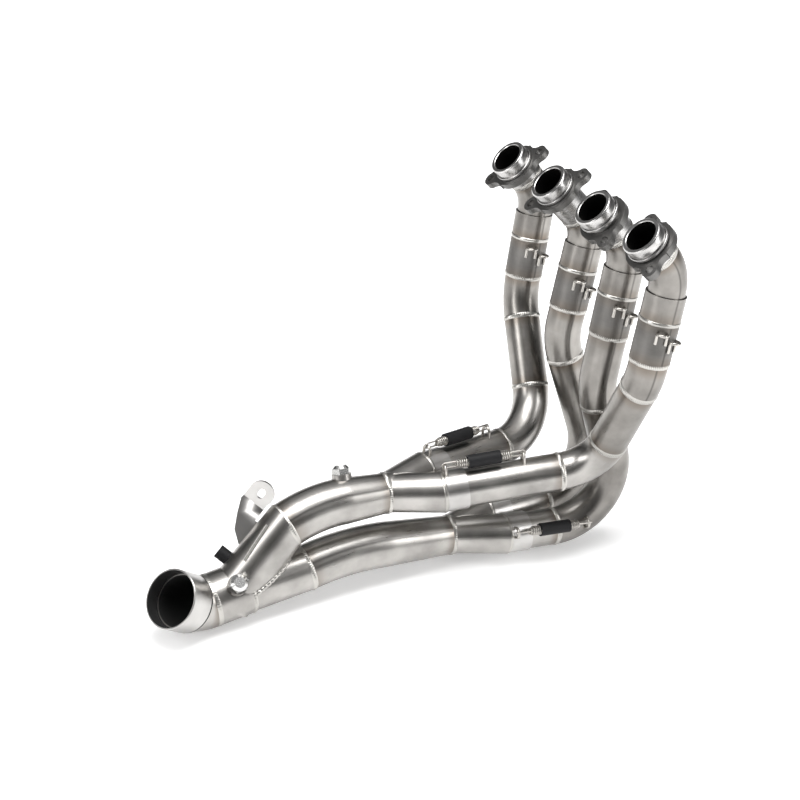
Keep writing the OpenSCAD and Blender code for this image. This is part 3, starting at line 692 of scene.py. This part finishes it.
def bead(name, point, axis, radius, height=BEAD_RISE):
    """A ring of ripples around the axis at the point."""
    bm = bmesh.new()
    uv = bm.loops.layers.uv.new("tube")
    x, y, z = cross_axes(axis)
    segs = RIPPLES * RIPPLE_POINTS
    rings = []
    for j in range(segs):
        a = 2 * math.pi * j / segs
        phase = 2 * math.pi * ((j % RIPPLE_POINTS) / RIPPLE_POINTS)
        row = []
        for k in range(ACROSS + 1):
            c = k / ACROSS * 2 - 1
            lift = height * (1 - c * c) * (STEADY + SWELL * math.cos(phase + LAG * c * c))
            along = c * BEAD_WIDTH / 2 + LEAN * (1 - c * c) * math.sin(phase)
            out = (x * math.cos(a) + y * math.sin(a)) * (radius - BEAD_DEPTH + lift)
            row.append(bm.verts.new((point + z * along + out + SHIFT) / 1000))
        rings.append(row)
    for j, row in enumerate(rings):
        after = rings[(j + 1) % segs]
        for k in range(ACROSS):
            f = bm.faces.new([row[k], row[k + 1], after[k + 1], after[k]])
            for loop in f.loops:
                loop[uv].uv = (k / ACROSS * BEAD_UV, j / segs * UV_TURN)
    return make_object(name, bm, [WELD])


def cone_gap(p, tip, foot, r_tip, r_foot):
    """Distance of a point from the skin of a cone, less than nothing inside it."""
    axis = (foot - tip).normalized()
    along = (p - tip).dot(axis)
    return (p - tip - axis * along).length - (r_tip + (r_foot - r_tip) * along / (foot - tip).length)


def ripple_wire(name, path, size):
    """A fillet weld: a round wire whose thickness swells with every drop."""
    radii = [size * (1 + DROP_SWELL * math.sin(k * 2 * math.pi / DROP_POINTS)) for k in range(len(path))]
    return sweep(name, path, radii, 0, WELD, segs=WIRE_SEGMENTS)


def merge_seam(name, a0, b0, end, r0, r1, size, lead):
    """The weld where two cones run together: down one side, through the crotch and up the other."""
    axis, other, length = (a0 - end).normalized(), (b0 - end).normalized(), (a0 - end).length
    across = (other - axis * axis.dot(other)).normalized()
    aside = axis.cross(across)

    def skin(d, sign, angle):
        r = r1 + (r0 - r1) * d / length
        return end + axis * d + (across * math.cos(angle) + aside * sign * math.sin(angle)) * r

    def gap(d, sign, angle):
        return cone_gap(skin(d, sign, angle), end, b0, r1, r0)

    sides = ([], [])
    steps = int(length / SEAM_STEP)
    for k in range(steps, 0, -1):
        d = length * k / steps
        for side, sign in zip(sides, (1, -1)):
            if d < lead or gap(d, sign, 0) >= 0:
                continue
            near, far = 0.0, math.pi
            for _ in range(HALVINGS):
                half = (near + far) / 2
                near, far = (half, far) if gap(d, sign, half) < 0 else (near, half)
            side.append(skin(d, sign, near))
    return ripple_wire(name, join(list(reversed(sides[0])), sides[1]), size)


def leg_seam(foot, tip, r_foot, r_tip):
    """The long weld on the outer side of the collector's upper leg, from its ring to the plug boss."""
    axis, length = (foot - tip).normalized(), (foot - tip).length
    face = (LEG_FACING - axis * axis.dot(LEG_FACING)).normalized()
    rise = face.cross(axis)
    run = length - LEG_BARE_FOOT - LEG_BARE_TIP
    steps = int(run / SEAM_STEP)
    path = []
    for k in range(steps + 1):
        d = LEG_BARE_TIP + run * k / steps
        angle = LEG_TURN_TIP + (LEG_TURN_FOOT - LEG_TURN_TIP) * d / length
        r = r_tip + (r_foot - r_tip) * d / length + LEG_LIFT * LEG_SEAM
        path.append(tip + axis * d + (face * math.cos(angle) + rise * math.sin(angle)) * r)
    return ripple_wire("leg seam", path, LEG_SEAM)


beads = []
for i, q in enumerate(PATHS):
    d = q["dirs"]
    spots = [(q["neck_end"], d[0], ELBOW_R), (q["hook_end"], d[1], SLEEVE_R - BEAD_INSET),
             (q["bends"][2][1], d[3], PRIMARY_R), (q["bends"][1][1], d[2], PRIMARY_R)]
    if i in OUTER:
        spots.append((q["bends"][2][0], d[2], PRIMARY_R))
    beads += [bead(f"bead {i + 1} {k}", p, a, r) for k, (p, a, r) in enumerate(spots)]
weld_a = CORNER_A + DIR_A1 * SECOND_A_BEND * math.tan(unit_turn(DIR_A0, DIR_A1) / 2)
weld_b = CORNER_B + DIR_B1 * RUN_B1
beads += [bead("bead a", weld_a, DIR_A1, SECOND_OUT_R), bead("bead b", weld_b, DIR_B1, SECOND_OUT_R),
          bead("bead 14", OUT_14, DIR_A0, MERGE_R), bead("bead 23", OUT_23, DIR_B0, MERGE_R),
          bead("bead neck", NECK_START, NECK_DIR, NECK_R, NECK_RISE)]
beads.append(merge_seam("collector seam", weld_a, weld_b, MERGE_POINT, SECOND_OUT_R, NECK_R - MERGE_WALL,
                        COLLECTOR_SEAM, COLLECTOR_LEAD))
for name, left, right, end in (("14", 0, 3, OUT_14), ("23", 1, 2, OUT_23)):
    beads.append(merge_seam(f"junction {name} seam", PATHS[left]["start"], PATHS[right]["start"], end, SOCKET_R,
                            MERGE_R - MERGE_WALL, JUNCTION_SEAM, JUNCTION_LEAD))
beads.append(leg_seam(weld_a, MERGE_POINT, SECOND_OUT_R, NECK_R - MERGE_WALL))
beads.append(bead("bead merge", MERGE_POINT - NECK_DIR * NECK_LEAD, NECK_DIR, NECK_R - BEAD_INSET, MERGE_RISE))
for b in beads:
    wear(b, "weld")
print("beads", len(beads))

# %% [markdown]
# ## Light and floor
# A pale floor under soft studio light. The world is white to the camera and grey to the metal, with dark
# strips, so that the tubes show the long light and dark bands of a studio.

# %%
# Name, place, size and power of each lamp, and the point they all face
LAMPS = (("top", (0.2, 0.0, 1.5), (1.2, 0.8), 20), ("left", (0.3, -1.6, 0.9), (0.5, 1.2), 12),
         ("right", (1.3, 1.1, 0.8), (0.4, 1.0), 9))
LAMP_TARGET = Vector((0, 0, 0.15))
# Colours that the metal sees, from the horizon up
WORLD_BANDS = [(0.0, (0.45, 0.45, 0.45)), (0.3, (0.05, 0.05, 0.05)), (0.48, (0.06, 0.06, 0.06)),
               (0.58, (0.85, 0.85, 0.85)), (0.68, (0.20, 0.20, 0.21)), (0.9, (1.3, 1.3, 1.3))]
WORLD_STRENGTH = 0.58
WHITE = (1, 1, 1, 1)
# Floor: half its width, its height, and the distances and strengths between which its glow grows
FLOOR_HALF, FLOOR_Z, GLOW_AT, GLOW = 6, -0.0005, (0.3, 0.8), (0.32, 1.0)

for name, at, size, power in LAMPS:
    lamp = bpy.data.lights.new(name, "AREA")
    lamp.shape, lamp.size, lamp.size_y, lamp.energy = "RECTANGLE", size[0], size[1], power
    o = bpy.data.objects.new(name, lamp)
    o.location = at
    o.rotation_euler = (Vector(at) - LAMP_TARGET).to_track_quat("Z", "Y").to_euler()
    scene.collection.objects.link(o)

world = bpy.data.worlds.new("studio")
scene.world = world
world.use_nodes = True
wt = world.node_tree
world_out, seen_by_metal = wt.nodes["World Output"], wt.nodes["Background"]
coord = add(wt, "ShaderNodeTexCoord")
split = add(wt, "ShaderNodeSeparateXYZ")
wt.links.new(coord.outputs["Generated"], split.inputs[0])
wt.links.new(ramp(wt, split.outputs["Z"], WORLD_BANDS), seen_by_metal.inputs["Color"])
seen_by_metal.inputs["Strength"].default_value = WORLD_STRENGTH
seen_by_camera = add(wt, "ShaderNodeBackground")
seen_by_camera.inputs["Color"].default_value = WHITE
seen_by_camera.inputs["Strength"].default_value = 1.0
ray = add(wt, "ShaderNodeLightPath")
pick = add(wt, "ShaderNodeMixShader")
wt.links.new(ray.outputs["Is Camera Ray"], pick.inputs[0])
wt.links.new(seen_by_metal.outputs[0], pick.inputs[1])
wt.links.new(seen_by_camera.outputs[0], pick.inputs[2])
wt.links.new(pick.outputs[0], world_out.inputs["Surface"])

floor_mesh = bpy.data.meshes.new("floor")
floor_mesh.from_pydata([(x * FLOOR_HALF, y * FLOOR_HALF, FLOOR_Z) for x, y in ((-1, -1), (1, -1), (1, 1), (-1, 1))],
                       [], [(0, 1, 2, 3)])
floor = bpy.data.objects.new("floor", floor_mesh)
scene.collection.objects.link(floor)
paper, paper_tree, paper_shader = new_material("paper", (0.93, 0.93, 0.93), 0.9, 0.0)
paper_shader.inputs["Specular IOR Level"].default_value = 0.1
paper_shader.inputs["Emission Color"].default_value = WHITE
place = add(paper_tree, "ShaderNodeTexCoord")
reach = add(paper_tree, "ShaderNodeVectorMath", operation="LENGTH")
paper_tree.links.new(place.outputs["Object"], reach.inputs[0])
glow = spread(paper_tree, reach.outputs["Value"], GLOW_AT, GLOW)
paper_tree.links.new(glow, paper_shader.inputs["Emission Strength"])
floor_mesh.materials.append(paper)
print("studio ready")
